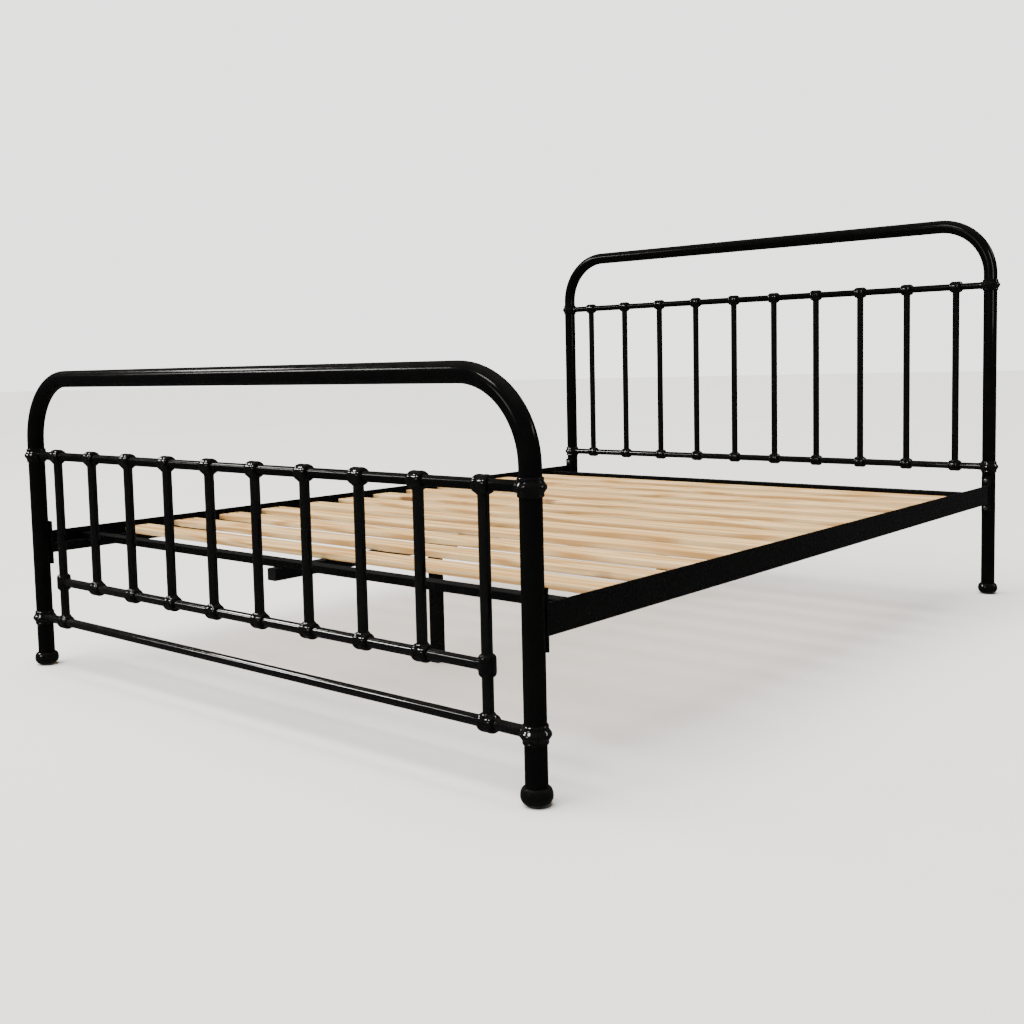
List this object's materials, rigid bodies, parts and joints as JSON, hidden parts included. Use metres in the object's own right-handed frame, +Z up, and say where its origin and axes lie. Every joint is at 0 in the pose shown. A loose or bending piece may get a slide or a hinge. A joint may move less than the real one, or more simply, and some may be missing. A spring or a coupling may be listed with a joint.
{
  "type": "metal bed frame",
  "caption": "Tubular metal bed frame with hooped head and foot ends, spindle panels with cast joints, side rails and a slatted deck.",
  "frame": {"origin": "on the floor, under the middle of the frame", "axes": "+Y from the foot end to the head end, +Z up, +X to the right of someone who stands at the foot and looks at the head"},
  "size_m": [1.6044, 2.1642, 1.107],
  "materials": {
    "black_enamel": "gloss black powder coat on steel tube",
    "black_casting": "gloss black powder coat on cast joints",
    "zinc_steel": "bright zinc plate",
    "black_plastic": "moulded black plastic, matt",
    "pine": "planed bare pine"
  },
  "bodies": {
    "root": {"foot_hoop": "black_enamel", "foot_top_rail": "black_enamel", "foot_panel_rail": "black_enamel", "foot_bottom_rail": "black_enamel", "foot_stile_left": "black_enamel", "foot_stile_right": "black_enamel", "foot_spindle_1": "black_enamel", "foot_spindle_2": "black_enamel", "foot_spindle_3": "black_enamel", "foot_spindle_4": "black_enamel", "foot_spindle_5": "black_enamel", "foot_spindle_6": "black_enamel", "foot_spindle_7": "black_enamel", "foot_spindle_8": "black_enamel", "head_hoop": "black_enamel", "head_top_rail": "black_enamel", "head_bottom_rail": "black_enamel", "head_spindle_1": "black_enamel", "head_spindle_2": "black_enamel", "head_spindle_3": "black_enamel", "head_spindle_4": "black_enamel", "head_spindle_5": "black_enamel", "head_spindle_6": "black_enamel", "head_spindle_7": "black_enamel", "head_spindle_8": "black_enamel", "head_spindle_9": "black_enamel", "head_spindle_10": "black_enamel", "side_rail_left": "black_enamel", "side_rail_right": "black_enamel", "slat_ledge_left": "black_enamel", "slat_ledge_right": "black_enamel", "rail_end_plates": "black_enamel", "centre_beam": "black_enamel", "centre_leg_foot": "black_enamel", "centre_leg_head": "black_enamel", "cross_bar_foot": "black_enamel", "cross_bar_head": "black_enamel", "foot_top_castings": "black_casting", "foot_panel_castings": "black_casting", "foot_stile_castings": "black_casting", "foot_bottom_castings": "black_casting", "foot_post_castings": "black_casting", "foot_bun_feet": "black_casting", "head_top_castings": "black_casting", "head_bottom_castings": "black_casting", "head_post_castings": "black_casting", "head_bun_feet": "black_casting", "rail_bolts": "zinc_steel", "post_inserts": "zinc_steel", "leg_screws": "zinc_steel", "cross_bar_screws": "zinc_steel", "beam_end_plugs": "black_plastic", "leg_sole_plugs": "black_plastic", "slats": "pine"}
  },
  "joints": []
}
